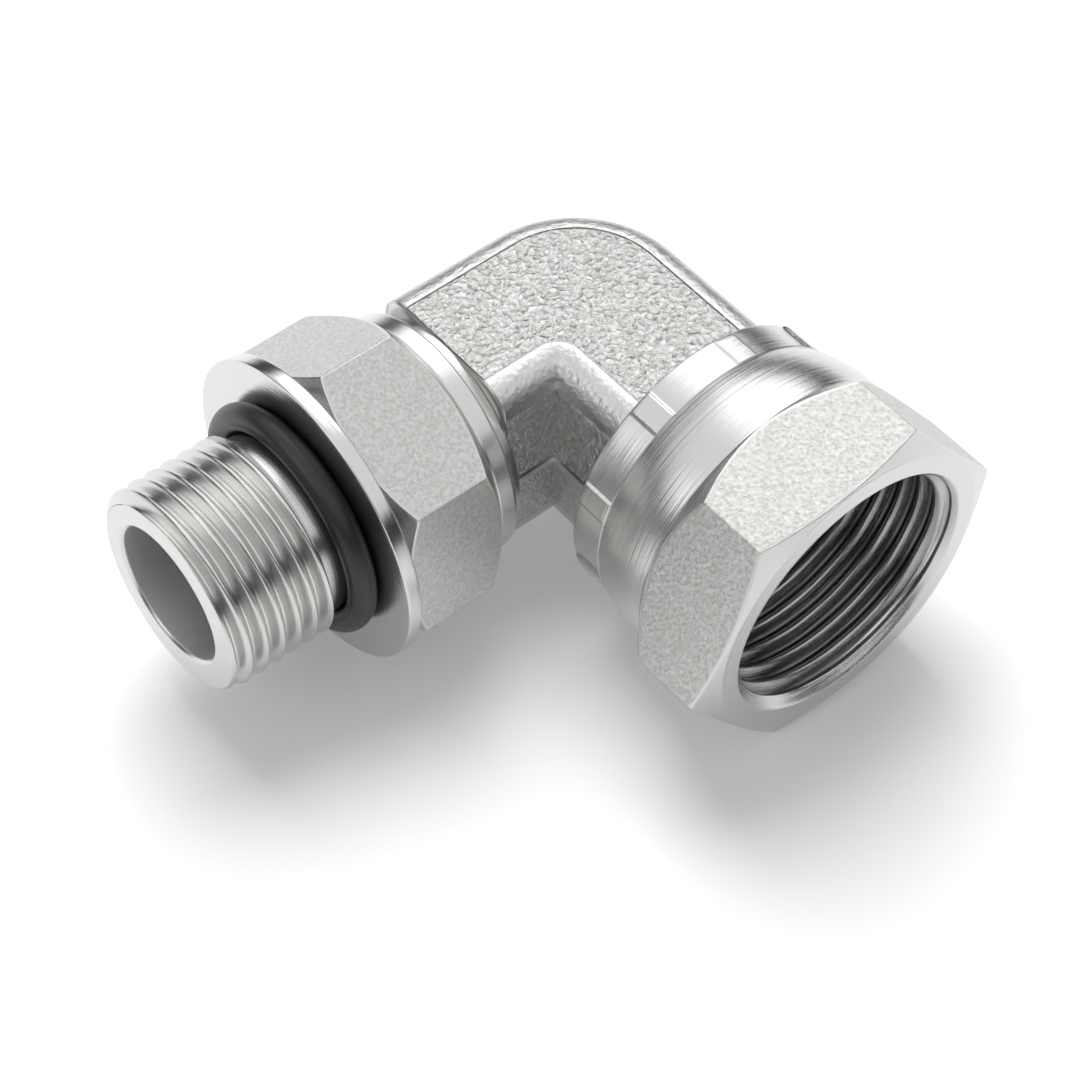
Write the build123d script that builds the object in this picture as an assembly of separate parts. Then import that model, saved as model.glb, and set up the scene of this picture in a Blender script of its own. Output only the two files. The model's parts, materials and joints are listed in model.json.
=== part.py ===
from build123d import *
import os
from math import radians, sqrt, tan

# A 90 degree adjustable elbow fitting, in millimetres: an O-ring stud on one arm and a crimped
# swivel nut on the other. The stud points along -X, the swivel nut along -Y, and +Z is up.
# The origin is on the stud's axis, where the stud's full thread meets its relief.
# A name that ends in _length, _thickness or _width is a size along or across an arm. Places along
# an arm are distances from the crossing of the two centre lines.

# Forging: both arms share one parting plane and one height
stud_arm_width = 19.6
swivel_arm_width = 21.2
forging_height = 22.4
draft_angle = 7.0
edge_radius = 3.0
outer_corner_radius = 13.2
inner_corner_radius = 1.5
stud_arm_length = 15.8
swivel_arm_length = 17.0
parting_land_height = 0.9
parting_land_proud = 0.15
end_trim = 6.0

# Flow bores, drilled from both ends until they meet
bore_diameter = 14.0
bore_overrun = 2.0
bore_bevel = 0.3
drill_point_angle = 118.0

# Turned stud arm, from the forging outwards
neck_length = 1.5
shoulder_diameter = 25.4
shoulder_length = 2.1
shoulder_bevel = 0.3
stud_thread_diameter = 20.955
stud_thread_length = 9.8
relief_diameter = 18.6
tip_chamfer_length = 1.2
tip_face_diameter = 19.8

# Lock nut
lock_nut_across_flats = 27.0
lock_nut_length = 11.6
lock_nut_face_diameter = 25.8
lock_nut_chamfer_angle = 35.0
lock_nut_bore_bevel = 0.9
lock_nut_turn = 33.0

# Back-up washer and O-ring
washer_diameter = 31.6
washer_thickness = 1.5
washer_bevel = 0.15
o_ring_section = 2.7
o_ring_travel_room = 1.7

# Swivel nut
swivel_across_flats = 32.0
swivel_nut_length = 21.65
swivel_nut_turn = 8.7
swivel_face_diameter = 31.3
front_chamfer_angle = 20.0
ring_diameter = 31.9
ring_length = 1.25
rear_chamfer_angle = 45.0
blend_length = 5.9
blend_foot_diameter = 29.6
swivel_thread_diameter = 26.988
swivel_thread_minor_diameter = 24.9
countersink_depth_past_thread = 0.2
thread_groove_depth_past_thread = 0.1
thread_groove_length = 1.6

# Crimped lip at the rear of the swivel nut
crimp_length = 3.7
crimp_rib_diameter = 29.9
crimp_pressed_diameter = 29.4
crimp_rib_count = 9
crimp_rib_angle = 9.5
crimp_edge_radius = 0.6
lip_length = 3.4

# Stem, collar and nose that the swivel nut turns on
stem_diameter = 20.4
collar_diameter = 24.0
collar_length = 2.4
nose_length = 0.8
nose_face_diameter = 22.8
seat_mouth_diameter = 21.6
seat_half_angle = 37.0

# Clearances
thread_clearance = 0.05
face_clearance = 0.05
sliding_clearance = 0.1
nut_rear_gap = 0.4
nose_room = 0.5

# Places along the stud arm
neck_end = stud_arm_length + neck_length
shoulder_end = neck_end + shoulder_length
lock_nut_rear = shoulder_end + face_clearance
lock_nut_front = lock_nut_rear + lock_nut_length
washer_rear = lock_nut_front + face_clearance
washer_front = washer_rear + washer_thickness
o_ring_rear = washer_front + face_clearance
relief_end = o_ring_rear + o_ring_section + o_ring_travel_room
thread_end = relief_end + stud_thread_length
stud_tip = thread_end + tip_chamfer_length

# Places along the swivel arm
nut_rear = swivel_arm_length + nut_rear_gap
crimp_end = nut_rear + crimp_length
ring_rear = crimp_end + blend_length
ring_front = ring_rear + ring_length
nut_face = nut_rear + swivel_nut_length
lip_end = nut_rear + lip_length
collar_rear = lip_end + face_clearance
collar_end = collar_rear + collar_length
nose_end = collar_end + nose_length
chamber_end = nose_end + nose_room
thread_groove_end = chamber_end + thread_groove_length

# The two arms' own frames, each with its Z axis pointing out along the arm
crossing_x = relief_end
stud_arm = Plane(origin=(crossing_x, 0, 0), x_dir=(0, 1, 0), z_dir=(-1, 0, 0))
swivel_arm = Plane(origin=(crossing_x, 0, 0), x_dir=(1, 0, 0), z_dir=(0, -1, 0))


def turned(outline):
    """Solid of revolution about Z of a closed outline drawn as (radius, distance)."""
    return revolve(make_face(Plane.XZ * outline), Axis.Z)


def turned_corners(corners):
    """Solid of revolution about Z with straight sides between (radius, distance) corners."""
    return turned(Polyline(*corners, close=True))


def hex_bar(across_flats, start, length, turn):
    """Hexagonal bar along Z, its first corner turned by an angle from X."""
    section = RegularPolygon(across_flats / 2, 6, major_radius=False, rotation=turn)
    return Pos(0, 0, start) * extrude(section, amount=length)


def across_corners(across_flats):
    """Width of a hexagon over its corners."""
    return across_flats * 2 / sqrt(3)


def corner_drop(across_flats, face_diameter, angle):
    """How far a conical chamfer reaches back from the face, out to the hexagon's corners."""
    return (across_corners(across_flats) - face_diameter) / 2 * tan(radians(angle))


def plan_outline():
    """The elbow at its parting plane, seen from above, with its crossing at the origin."""
    stud_half = stud_arm_width / 2
    swivel_half = swivel_arm_width / 2
    stud_end = -stud_arm_length - end_trim
    swivel_end = -swivel_arm_length - end_trim
    crotch = (-swivel_half, -stud_half)
    heel = (swivel_half, stud_half)
    outline = make_face(
        Polyline(
            (stud_end, -stud_half),
            crotch,
            (-swivel_half, swivel_end),
            (swivel_half, swivel_end),
            heel,
            (stud_end, stud_half),
            close=True,
        )
    )
    outline = fillet(outline.vertices().sort_by_distance(crotch)[0], inner_corner_radius)
    return fillet(outline.vertices().sort_by_distance(heel)[0], outer_corner_radius)


def forging():
    """Two drafted halves with rounded edges, the trimmed land between them, and flat arm ends."""
    plan = plan_outline()
    upper = extrude(plan, amount=forging_height / 2, taper=draft_angle)
    upper = fillet(upper.faces().sort_by(Axis.Z)[-1].edges(), edge_radius)
    land = extrude(offset(plan, parting_land_proud), amount=parting_land_height / 2, both=True)
    elbow = upper + mirror(upper, Plane.XY) + land
    reach = stud_arm_width + swivel_arm_width
    room = Pos(-stud_arm_length, -swivel_arm_length, 0) * Box(
        stud_arm_length + reach,
        swivel_arm_length + reach,
        2 * forging_height,
        align=(Align.MIN, Align.MIN, Align.CENTER),
    )
    return Pos(crossing_x, 0, 0) * (elbow & room)


def stud():
    """Neck, shoulder, the lock nut's thread, the relief and the stud's thread, in one turning."""
    neck = forging_height / 2
    shoulder = shoulder_diameter / 2
    thread = stud_thread_diameter / 2
    relief = relief_diameter / 2
    runout = thread - relief
    return stud_arm * turned_corners(
        [
            (0, stud_arm_length),
            (neck, stud_arm_length),
            (neck, neck_end),
            (shoulder - shoulder_bevel, neck_end),
            (shoulder, neck_end + shoulder_bevel),
            (shoulder, shoulder_end - shoulder_bevel),
            (shoulder - shoulder_bevel, shoulder_end),
            (thread, shoulder_end),
            (thread, lock_nut_front - runout),
            (relief, lock_nut_front),
            (relief, relief_end),
            (thread, relief_end),
            (thread, thread_end),
            (tip_face_diameter / 2, stud_tip),
            (0, stud_tip),
        ]
    )


def nose():
    """Stem, collar and nose inside the swivel nut, before they are bored."""
    stem = stem_diameter / 2
    collar = collar_diameter / 2
    return swivel_arm * turned_corners(
        [
            (0, 0),
            (stem, 0),
            (stem, collar_rear),
            (collar, collar_rear),
            (collar, collar_end),
            (nose_face_diameter / 2, nose_end),
            (0, nose_end),
        ]
    )


def stud_bore():
    """Drilled hole from the stud's tip past the crossing, with its bevelled mouth."""
    bore = bore_diameter / 2
    point = bore / tan(radians(drill_point_angle / 2))
    return stud_arm * turned_corners(
        [
            (0, -bore_overrun - point),
            (bore, -bore_overrun),
            (bore, stud_tip - bore_bevel),
            (bore + 2 * bore_bevel, stud_tip + bore_bevel),
            (0, stud_tip + bore_bevel),
        ]
    )


def swivel_bore():
    """Drilled hole from the nose past the crossing, with the conical seat at its mouth."""
    bore = bore_diameter / 2
    mouth = seat_mouth_diameter / 2
    point = bore / tan(radians(drill_point_angle / 2))
    seat_depth = (mouth - bore) / tan(radians(seat_half_angle))
    return swivel_arm * turned_corners(
        [
            (0, -bore_overrun - point),
            (bore, -bore_overrun),
            (bore, nose_end - seat_depth),
            (mouth, nose_end),
            (mouth, chamber_end),
            (0, chamber_end),
        ]
    )


def elbow_body():
    """One steel forging with both arms machined and bored."""
    return forging() + stud() + nose() - stud_bore() - swivel_bore()


def lock_nut():
    """Hexagon nut with a conical chamfer on each face."""
    face = lock_nut_face_diameter / 2
    drop = corner_drop(lock_nut_across_flats, lock_nut_face_diameter, lock_nut_chamfer_angle)
    bore = stud_thread_diameter / 2 + thread_clearance
    rim = across_corners(lock_nut_across_flats) / 2
    envelope = turned_corners(
        [
            (bore + lock_nut_bore_bevel, lock_nut_rear),
            (face, lock_nut_rear),
            (rim, lock_nut_rear + drop),
            (rim, lock_nut_front - drop),
            (face, lock_nut_front),
            (bore + lock_nut_bore_bevel, lock_nut_front),
            (bore, lock_nut_front - lock_nut_bore_bevel),
            (bore, lock_nut_rear + lock_nut_bore_bevel),
        ]
    )
    bar = hex_bar(lock_nut_across_flats, lock_nut_rear, lock_nut_length, lock_nut_turn)
    return stud_arm * (bar & envelope)


def backup_washer():
    """Flat ring with broken edges that slides in the stud's relief."""
    rim = washer_diameter / 2
    bore = relief_diameter / 2 + sliding_clearance
    return stud_arm * turned_corners(
        [
            (bore, washer_rear),
            (rim - washer_bevel, washer_rear),
            (rim, washer_rear + washer_bevel),
            (rim, washer_front - washer_bevel),
            (rim - washer_bevel, washer_front),
            (bore, washer_front),
        ]
    )


def o_ring():
    """Round-section ring around the relief, in front of the washer."""
    section = o_ring_section / 2
    centre = relief_diameter / 2 + face_clearance + section
    ring = Torus(centre, section)
    return stud_arm * Pos(0, 0, o_ring_rear + section) * ring


def swivel_blank():
    """The swivel nut as turned, before the hexagon and the crimping."""
    rib = crimp_rib_diameter / 2
    ring = ring_diameter / 2
    blend_foot = blend_foot_diameter / 2
    corner = across_corners(swivel_across_flats) / 2
    front_drop = corner_drop(swivel_across_flats, swivel_face_diameter, front_chamfer_angle)
    rear_rise = corner_drop(swivel_across_flats, ring_diameter, rear_chamfer_angle)
    minor = swivel_thread_minor_diameter / 2
    countersink = swivel_thread_diameter / 2 + countersink_depth_past_thread
    lip_bore = stem_diameter / 2 + sliding_clearance
    chamber = collar_diameter / 2 + sliding_clearance
    groove = swivel_thread_diameter / 2 + thread_groove_depth_past_thread
    front = Polyline(
        (ring, ring_rear),
        (ring, ring_front),
        (corner, ring_front + rear_rise),
        (corner, nut_face - front_drop),
        (swivel_face_diameter / 2, nut_face),
        (countersink, nut_face),
        (minor, nut_face - (countersink - minor)),
        (minor, thread_groove_end + groove - minor),
        (groove, thread_groove_end),
        (groove, chamber_end),
        (chamber, chamber_end),
        (chamber, lip_end),
        (lip_bore, lip_end),
        (lip_bore, nut_rear),
        (rib - crimp_edge_radius, nut_rear),
    )
    edge = TangentArc(
        (rib, nut_rear + crimp_edge_radius), (rib - crimp_edge_radius, nut_rear), tangent=(0, -1)
    )
    crimped = Polyline((rib, nut_rear + crimp_edge_radius), (rib, crimp_end), (blend_foot, crimp_end))
    blend = TangentArc((ring, ring_rear), (blend_foot, crimp_end), tangent=(0, -1))
    return turned(front + edge + crimped + blend)


def pressed_facets():
    """What the crimping jaws press away between the ribs that they leave."""
    pressed = crimp_pressed_diameter / 2
    outside = crimp_rib_diameter / 2 + sliding_clearance
    profile = Plane.XZ * Polyline(
        (pressed, nut_rear - sliding_clearance),
        (outside, nut_rear - sliding_clearance),
        (outside, crimp_end),
        (pressed, crimp_end),
        close=True,
    )
    spacing = 360 / crimp_rib_count
    facet = revolve(make_face(profile), Axis.Z, revolution_arc=spacing - crimp_rib_angle)
    first = crimp_rib_angle / 2
    return [Rot(0, 0, first + number * spacing) * facet for number in range(crimp_rib_count)]


def swivel_nut():
    """Hexagon nut with a turned ring and shoulder, crimped over the body's collar."""
    bar = hex_bar(swivel_across_flats, ring_front, nut_face - ring_front, swivel_nut_turn)
    barrel = Pos(0, 0, nut_rear) * Cylinder(
        ring_diameter / 2,
        nut_face - nut_rear,
        align=(Align.CENTER, Align.CENTER, Align.MIN),
    )
    nut = swivel_blank() & (bar + barrel)
    for facet in pressed_facets():
        nut -= facet
    return swivel_arm * nut


os.makedirs("parts", exist_ok=True)
export_step(elbow_body(), "parts/elbow_body.step")
export_step(lock_nut(), "parts/lock_nut.step")
export_step(backup_washer(), "parts/backup_washer.step")
export_step(o_ring(), "parts/o_ring.step")
export_step(swivel_nut(), "parts/swivel_nut.step")
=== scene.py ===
"""Plated 90 degree elbow fitting: forged elbow, threaded stud, lock nut, washer, seal and swivel nut."""

import json
from math import cos, pi, radians, sin, sqrt, tan

import bpy
import numpy as np
from mathutils import Matrix, Vector


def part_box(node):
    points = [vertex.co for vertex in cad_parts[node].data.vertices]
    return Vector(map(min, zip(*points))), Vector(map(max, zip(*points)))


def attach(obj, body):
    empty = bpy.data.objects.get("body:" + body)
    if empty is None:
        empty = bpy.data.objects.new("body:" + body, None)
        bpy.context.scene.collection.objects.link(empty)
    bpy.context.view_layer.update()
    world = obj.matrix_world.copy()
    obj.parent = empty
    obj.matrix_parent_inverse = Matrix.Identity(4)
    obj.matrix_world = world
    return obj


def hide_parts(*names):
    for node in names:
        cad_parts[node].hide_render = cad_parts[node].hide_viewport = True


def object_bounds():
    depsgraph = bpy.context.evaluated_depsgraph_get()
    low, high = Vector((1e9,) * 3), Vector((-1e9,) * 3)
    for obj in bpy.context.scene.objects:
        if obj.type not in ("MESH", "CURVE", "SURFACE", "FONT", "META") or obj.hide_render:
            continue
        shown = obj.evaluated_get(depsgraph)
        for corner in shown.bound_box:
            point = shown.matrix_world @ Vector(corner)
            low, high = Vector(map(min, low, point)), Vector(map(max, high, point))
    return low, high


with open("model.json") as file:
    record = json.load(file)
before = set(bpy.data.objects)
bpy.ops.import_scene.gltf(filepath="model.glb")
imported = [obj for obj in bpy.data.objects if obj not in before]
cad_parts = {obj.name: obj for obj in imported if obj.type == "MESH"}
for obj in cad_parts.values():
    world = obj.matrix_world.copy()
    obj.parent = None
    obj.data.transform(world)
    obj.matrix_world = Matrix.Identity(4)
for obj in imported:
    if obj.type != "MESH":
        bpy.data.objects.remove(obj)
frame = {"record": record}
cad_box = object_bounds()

bl_info = {
    "name": "Elbow Adapter Fitting",
    "version": (1, 0, 0),
    "blender": (4, 5, 0),
    "location": "View3D > Sidebar > Fitting",
    "description": "Builds the plated surfaces of an adjustable hydraulic elbow around its solid model",
    "category": "Object",
}

MM = 0.001
FULL_TURN = 2 * pi
HEX_HALF_SECTOR = pi / 6
LEAST_LENGTH = 1e-12
LEAST_AREA = 1e-15
LEAST_SLOPE = 1e-9


def mount(name):
    """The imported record's mount of that name."""
    return next(m for m in frame["record"]["mounts"] if m["name"] == name)


port = mount("port_stud")
mouth = mount("swivel_thread")
crossing_x = mouth["pos_m"][0]


def stud_reach(node, end):
    """Distance from the crossing to a node's near or far end along the stud arm."""
    low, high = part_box(node)
    return crossing_x - (low.x if end == "far" else high.x)


def swivel_reach(node, end):
    """Distance from the crossing to a node's near or far end along the swivel arm."""
    low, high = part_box(node)
    return -(low.y if end == "far" else high.y)


# Forging
stud_arm_half = 9.8 * MM
swivel_arm_half = 10.6 * MM
forging_half_height = 11.2 * MM
forging_draft = radians(7.0)
forging_edge_radius = 3.0 * MM
heel_radius = 13.2 * MM
crotch_radius = 1.5 * MM
stud_arm_end = 15.8 * MM
swivel_arm_end = 17.0 * MM
land_half_height = 0.45 * MM
land_proud = 0.15 * MM

# Flow bores
bore_radius = 7.0 * MM
bore_overrun = 2.0 * MM
bore_bevel = 0.3 * MM
drill_half_angle = radians(59.0)

# Stud arm
neck_end = 17.3 * MM
shoulder_radius = 12.7 * MM
shoulder_end = 19.4 * MM
relief_radius = 9.3 * MM
tip_face_radius = 9.9 * MM
stud_tip = stud_reach("elbow_body", "far")
stud_thread_end = crossing_x + port["dims"]["length_mm"] * MM
stud_major_radius = port["dims"]["r_mm"] * MM

# Lock nut
lock_apothem = 13.5 * MM
lock_face_radius = 12.9 * MM
lock_chamfer_angle = radians(35.0)
lock_turn = radians(33.0)
lock_bore_bevel = 0.9 * MM
thread_clearance = 0.05 * MM
lock_rear = stud_reach("lock_nut", "near")
lock_front = stud_reach("lock_nut", "far")

# Washer and O-ring
washer_rear = stud_reach("backup_washer", "near")
washer_front = stud_reach("backup_washer", "far")
washer_bore_radius = 9.4 * MM
washer_rim_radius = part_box("backup_washer")[1].z
o_ring_rear = stud_reach("o_ring", "near")
o_ring_front = stud_reach("o_ring", "far")
o_ring_section_radius = (o_ring_front - o_ring_rear) / 2
o_ring_centre_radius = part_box("o_ring")[1].z - o_ring_section_radius

# Swivel nut
swivel_apothem = 16.0 * MM
swivel_turn = radians(8.7)
swivel_rear = swivel_reach("swivel_nut", "near")
swivel_face = swivel_reach("swivel_nut", "far")
swivel_face_radius = 15.65 * MM
front_chamfer_angle = radians(20.0)
rear_chamfer_angle = radians(45.0)
ring_radius = 15.95 * MM
blend_foot_radius = 14.8 * MM
crimp_end = swivel_rear + 3.7 * MM
ring_rear = crimp_end + 5.9 * MM
ring_front = ring_rear + 1.25 * MM
rib_radius = 14.95 * MM
pressed_radius = 14.7 * MM
rib_count = 9
rib_half_angle = radians(4.75)
crimp_edge_radius = 0.6 * MM
swivel_minor_radius = mouth["dims"]["r_mm"] * MM
swivel_major_radius = 13.494 * MM
countersink_radius = 13.694 * MM
groove_radius = 13.594 * MM
countersink_length = 1.5 * MM
lip_radius = 10.3 * MM
lip_end = swivel_rear + 3.4 * MM
chamber_radius = 12.1 * MM

# Nose inside the swivel nut
stem_radius = 10.2 * MM
collar_radius = 12.0 * MM
collar_rear = lip_end + 0.05 * MM
collar_end = collar_rear + 2.4 * MM
nose_end = collar_end + 0.8 * MM
nose_face_radius = 11.4 * MM
seat_mouth_radius = 10.8 * MM
seat_half_angle = radians(37.0)
chamber_end = nose_end + 0.5 * MM
groove_end = chamber_end + 1.6 * MM

# Rows, columns and steps of the grids
corner_share = 0.4
bend_points = 5
land_profile = np.array([(0, -1), (0.5, -1), (0.85, -0.95), (1.0, -0.75)])
land_foot = 0.12 * MM
wall_rows = 24
edge_rows = 14
plan_counts = (40, 64, 42)
top_columns = 64
cap_rows = 6
tunnel_rows = 90
turned_column_degrees = 2.0
hex_column_degrees = 1.2
hex_corner_degrees = np.array([-1.0, -0.55, -0.3, -0.12, 0, 0.12, 0.3, 0.55, 1.0])
least_column_degrees = 0.08
o_ring_column_degrees = 1.5
o_ring_section_degrees = 7.5
blend_rows = 14
rib_fade = radians(0.35)

# Where the grain lies, and the bores that are dull and darkened with painted shade
edge_grain = 0.35
flat_depth_margin = 0.02 * MM
flat_edge_margin = 0.12 * MM
bore_margin = 0.05 * MM
crest_dullness_and_shade = 0.45
thread_face_gap = 0.1 * MM

# Unevenness of the forging: size of the lattice's cell, share of the height and seed
coarse_unevenness = (1.3 * MM, 0.6, 3)
fine_unevenness = (0.7 * MM, 0.4, 4)

# Finishes, and the painted shade in the grain's pits
# Colour factor of the painted shade that darkens the plating in the low places of the pebbled grain
painted_pit_shade = (0.76, 0.76, 0.75)
raised_range = (0.55, 0.95)
fine_grain_scale = 0.8
fine_grain_height = 0.5
ring_drift_mm = 0.12


class FittingSizes(bpy.types.PropertyGroup):
    """Sizes that the solid model leaves to the surfaces."""

    stud_pitch: bpy.props.FloatProperty(
        name="Stud thread pitch", description="Advance of the stud's thread in one turn",
        default=1.814 * MM, subtype="DISTANCE", precision=6,
    )
    stud_thread_depth: bpy.props.FloatProperty(
        name="Stud thread depth", description="Height of the stud's thread from root to crest",
        default=1.162 * MM, subtype="DISTANCE", precision=6,
    )
    swivel_pitch: bpy.props.FloatProperty(
        name="Swivel thread pitch", description="Advance of the swivel nut's thread in one turn",
        default=2.1167 * MM, subtype="DISTANCE", precision=6,
    )
    edge_round: bpy.props.FloatProperty(
        name="Edge rounding", description="Radius that the tumbling leaves on machined edges",
        default=0.1 * MM, subtype="DISTANCE", precision=6,
    )
    hex_edge_round: bpy.props.FloatProperty(
        name="Hexagon edge rounding", description="Radius along the hexagons' corners",
        default=0.2 * MM, subtype="DISTANCE", precision=6,
    )
    pebble_height: bpy.props.FloatProperty(
        name="Pebble height", description="Height of the blasted unevenness on the forging",
        default=0.03 * MM, subtype="DISTANCE", precision=6,
    )


class FittingColours(bpy.types.PropertyGroup):
    """Colours of the finishes."""

    plating: bpy.props.FloatVectorProperty(
        name="Zinc plating", description="Colour of the bright zinc plating",
        default=(0.62, 0.62, 0.61), subtype="COLOR", min=0, max=1,
    )
    rubber: bpy.props.FloatVectorProperty(
        name="Seal rubber", description="Colour of the O-ring",
        default=(0.012, 0.012, 0.012), subtype="COLOR", min=0, max=1,
    )
    floor: bpy.props.FloatVectorProperty(
        name="Floor", description="Colour of the floor that the fitting lies on",
        default=(0.85, 0.85, 0.85), subtype="COLOR", min=0, max=1,
    )


def sizes():
    """The scene's sizes."""
    return bpy.context.scene.fitting_sizes


def colours():
    """The scene's colours."""
    return bpy.context.scene.fitting_colours


def softened(corners, rounding, steps):
    """Rows of points along a closed outline with its corners rounded.

    corners has the shape (corner, column, 2). Each corner is cut back along both of its sides by its
    rounding, or by a share of the shorter side, and the curve (1-t)^2 A + 2t(1-t) C + t^2 B joins the cuts
    A and B across the corner C. The straight run after each corner is divided to its own step.
    """
    side = np.roll(corners, -1, axis=0) - corners
    length = np.linalg.norm(side, axis=2)
    shorter = np.minimum(length, np.roll(length, 1, axis=0))
    cut = np.minimum(np.asarray(rounding)[:, None], corner_share * shorter)
    along = side / np.maximum(length, LEAST_LENGTH)[:, :, None]
    start = corners - np.roll(along, 1, axis=0) * cut[:, :, None]
    end = corners + along * cut[:, :, None]
    next_start = np.roll(start, -1, axis=0)
    rows = []
    for k, step in enumerate(steps):
        bend = np.linspace(0, 1, bend_points if rounding[k] else 1)[:, None, None]
        rows.append((1 - bend) ** 2 * start[k] + 2 * bend * (1 - bend) * corners[k] + bend**2 * end[k])
        count = int(np.ceil(length[k].max() / step))
        run = (np.arange(1, count) / count)[:, None, None]
        rows.append(end[k] * (1 - run) + next_start[k] * run)
    return np.concatenate(rows)


def stud_place(radius, angle, reach):
    """Point on the stud arm at a radius, a right-hand angle about the way out, and a reach."""
    return np.stack([crossing_x - reach, radius * np.cos(angle), -radius * np.sin(angle)], axis=-1)


def swivel_place(radius, angle, reach):
    """Point on the swivel arm at a radius, a right-hand angle about the way out, and a reach."""
    return np.stack([crossing_x + radius * np.cos(angle), -reach, radius * np.sin(angle)], axis=-1)


def grid_faces(rows, columns):
    """Quads of a grid that closes on itself in both directions."""
    i, j = np.meshgrid(np.arange(rows), np.arange(columns), indexing="ij")
    next_i = (i + 1) % rows
    next_j = (j + 1) % columns
    corners = [i * columns + j, next_i * columns + j, next_i * columns + next_j, i * columns + next_j]
    return np.stack(corners, axis=-1).reshape(-1, 4)


def signed_volume(points, quads):
    """Sum over the faces of the centre dotted with the area vector, a third of which is the volume."""
    a, b, c, d = (points[quads[:, k]] for k in range(4))
    area = 0.5 * np.cross(c - a, d - b)
    return float(((a + b + c + d) / 4 * area).sum() / 3)


def closed_grid(name, grid, values, material, body, nodes):
    """Object from a grid of points that closes both ways, its faces turned outwards.

    values maps an attribute's name to one number for each point of the grid.
    """
    rows, columns = grid.shape[:2]
    points = grid.reshape(-1, 3)
    quads = grid_faces(rows, columns)
    if signed_volume(points, quads) < 0:
        quads = quads[:, ::-1]
    mesh = bpy.data.meshes.new(name)
    mesh.from_pydata(points, [], quads)
    for key, value in values.items():
        layer = mesh.attributes.new(key, "FLOAT", "POINT")
        layer.data.foreach_set("value", np.ascontiguousarray(value, np.float32).ravel())
    mesh.polygons.foreach_set("use_smooth", np.ones(len(mesh.polygons), bool))
    mesh.materials.append(material)
    mesh.update()
    piece = bpy.data.objects.new(name, mesh)
    bpy.context.scene.collection.objects.link(piece)
    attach(piece, body)
    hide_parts(*nodes)
    return piece


def grid_normals(grid):
    """Unit normals of a closed grid: the cross product of its two central differences."""
    across = np.roll(grid, -1, axis=0) - np.roll(grid, 1, axis=0)
    along = np.roll(grid, -1, axis=1) - np.roll(grid, 1, axis=1)
    normal = np.cross(across, along)
    return normal / np.maximum(np.linalg.norm(normal, axis=-1), LEAST_AREA)[..., None]


def lattice_noise(points, cell, seed):
    """Smooth noise from 0 to 1: random values on a cubic lattice, eased by 3t^2 - 2t^3 between them."""
    count = 64
    values = np.random.default_rng(seed).random((count, count, count))
    place = points / cell
    low = np.floor(place).astype(int)
    ease = place - low
    ease = ease * ease * (3 - 2 * ease)
    total = np.zeros(points.shape[:-1])
    for corner in np.ndindex(2, 2, 2):
        index = (low + corner) % count
        weight = np.prod(np.where(corner, ease, 1 - ease), axis=-1)
        total += weight * values[index[..., 0], index[..., 1], index[..., 2]]
    return total


def hex_columns(turn, extra=()):
    """Angles for a hexagon's columns: even steps, with more of them beside each corner."""
    even = np.arange(0, 360, hex_column_degrees)
    corners = np.degrees(turn) + 60 * np.arange(6)[:, None] + hex_corner_degrees
    angles = np.concatenate([even, corners.ravel(), np.degrees(np.asarray(extra)).ravel()]) % 360
    angles = np.unique(np.round(angles, 4))
    keep = np.diff(angles, append=angles[0] + 360) > least_column_degrees
    return np.radians(angles[keep])


def hex_radius(angles, apothem, turn, rounding):
    """Distance to the side of a hexagon: a/cos(b) on the flats and an arc at each corner.

    The arc of radius q is centred c = (a - q)/cos 30 out along the corner, so at an angle d from the
    corner it lies at c cos(d) + sqrt(q^2 - c^2 sin^2(d)).
    """
    from_corner = (angles - turn + HEX_HALF_SECTOR) % (2 * HEX_HALF_SECTOR) - HEX_HALF_SECTOR
    from_flat = HEX_HALF_SECTOR - np.abs(from_corner)
    flat = apothem / np.cos(from_flat)
    centre = (apothem - rounding) / cos(HEX_HALF_SECTOR)
    tangent = np.arctan2(rounding * sin(HEX_HALF_SECTOR), centre + rounding * cos(HEX_HALF_SECTOR))
    inside = np.maximum(rounding**2 - (centre * np.sin(from_corner)) ** 2, 0)
    arc = centre * np.cos(from_corner) + np.sqrt(inside)
    return np.where(np.abs(from_corner) < tangent, arc, flat)


def as_corners(points, columns):
    """Corner list of (radius, reach) pairs, each a number or a row, as a (corner, column, 2) array."""
    rows = [[np.broadcast_to(value, columns) for value in point] for point in points]
    return np.array(rows).transpose(0, 2, 1)


def thread_wave(reach, angle, pitch):
    """0 at a right-hand thread's crest and 1 at its root: (1 - cos(2 pi (s/p - a/turn))) / 2."""
    return 0.5 - 0.5 * np.cos(FULL_TURN * (reach / pitch - angle / FULL_TURN))


def forging_side():
    """One quarter of the section, from the parting plane to the flat top, as (inset, height) rows.

    A trimmed land, then a drafted wall, then an arc of the edge radius that is tangent to the wall
    and to the top.
    """
    radius = forging_edge_radius
    centre_height = forging_half_height - radius
    centre_inset = (radius + centre_height * sin(forging_draft)) / cos(forging_draft)
    wall_top = centre_height + radius * sin(forging_draft)
    wall_height = np.linspace(land_half_height + land_foot, wall_top, wall_rows)
    wall = np.stack([wall_height * tan(forging_draft), wall_height], axis=-1)
    land = np.stack([land_profile[:, 1] * land_proud, land_profile[:, 0] * land_half_height], axis=-1)
    turn = np.linspace(forging_draft, pi / 2, edge_rows)[1:]
    arc = np.stack(
        [centre_inset - radius * np.cos(turn), centre_height + radius * np.sin(turn)], axis=-1
    )
    return np.concatenate([land, wall, arc])


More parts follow.
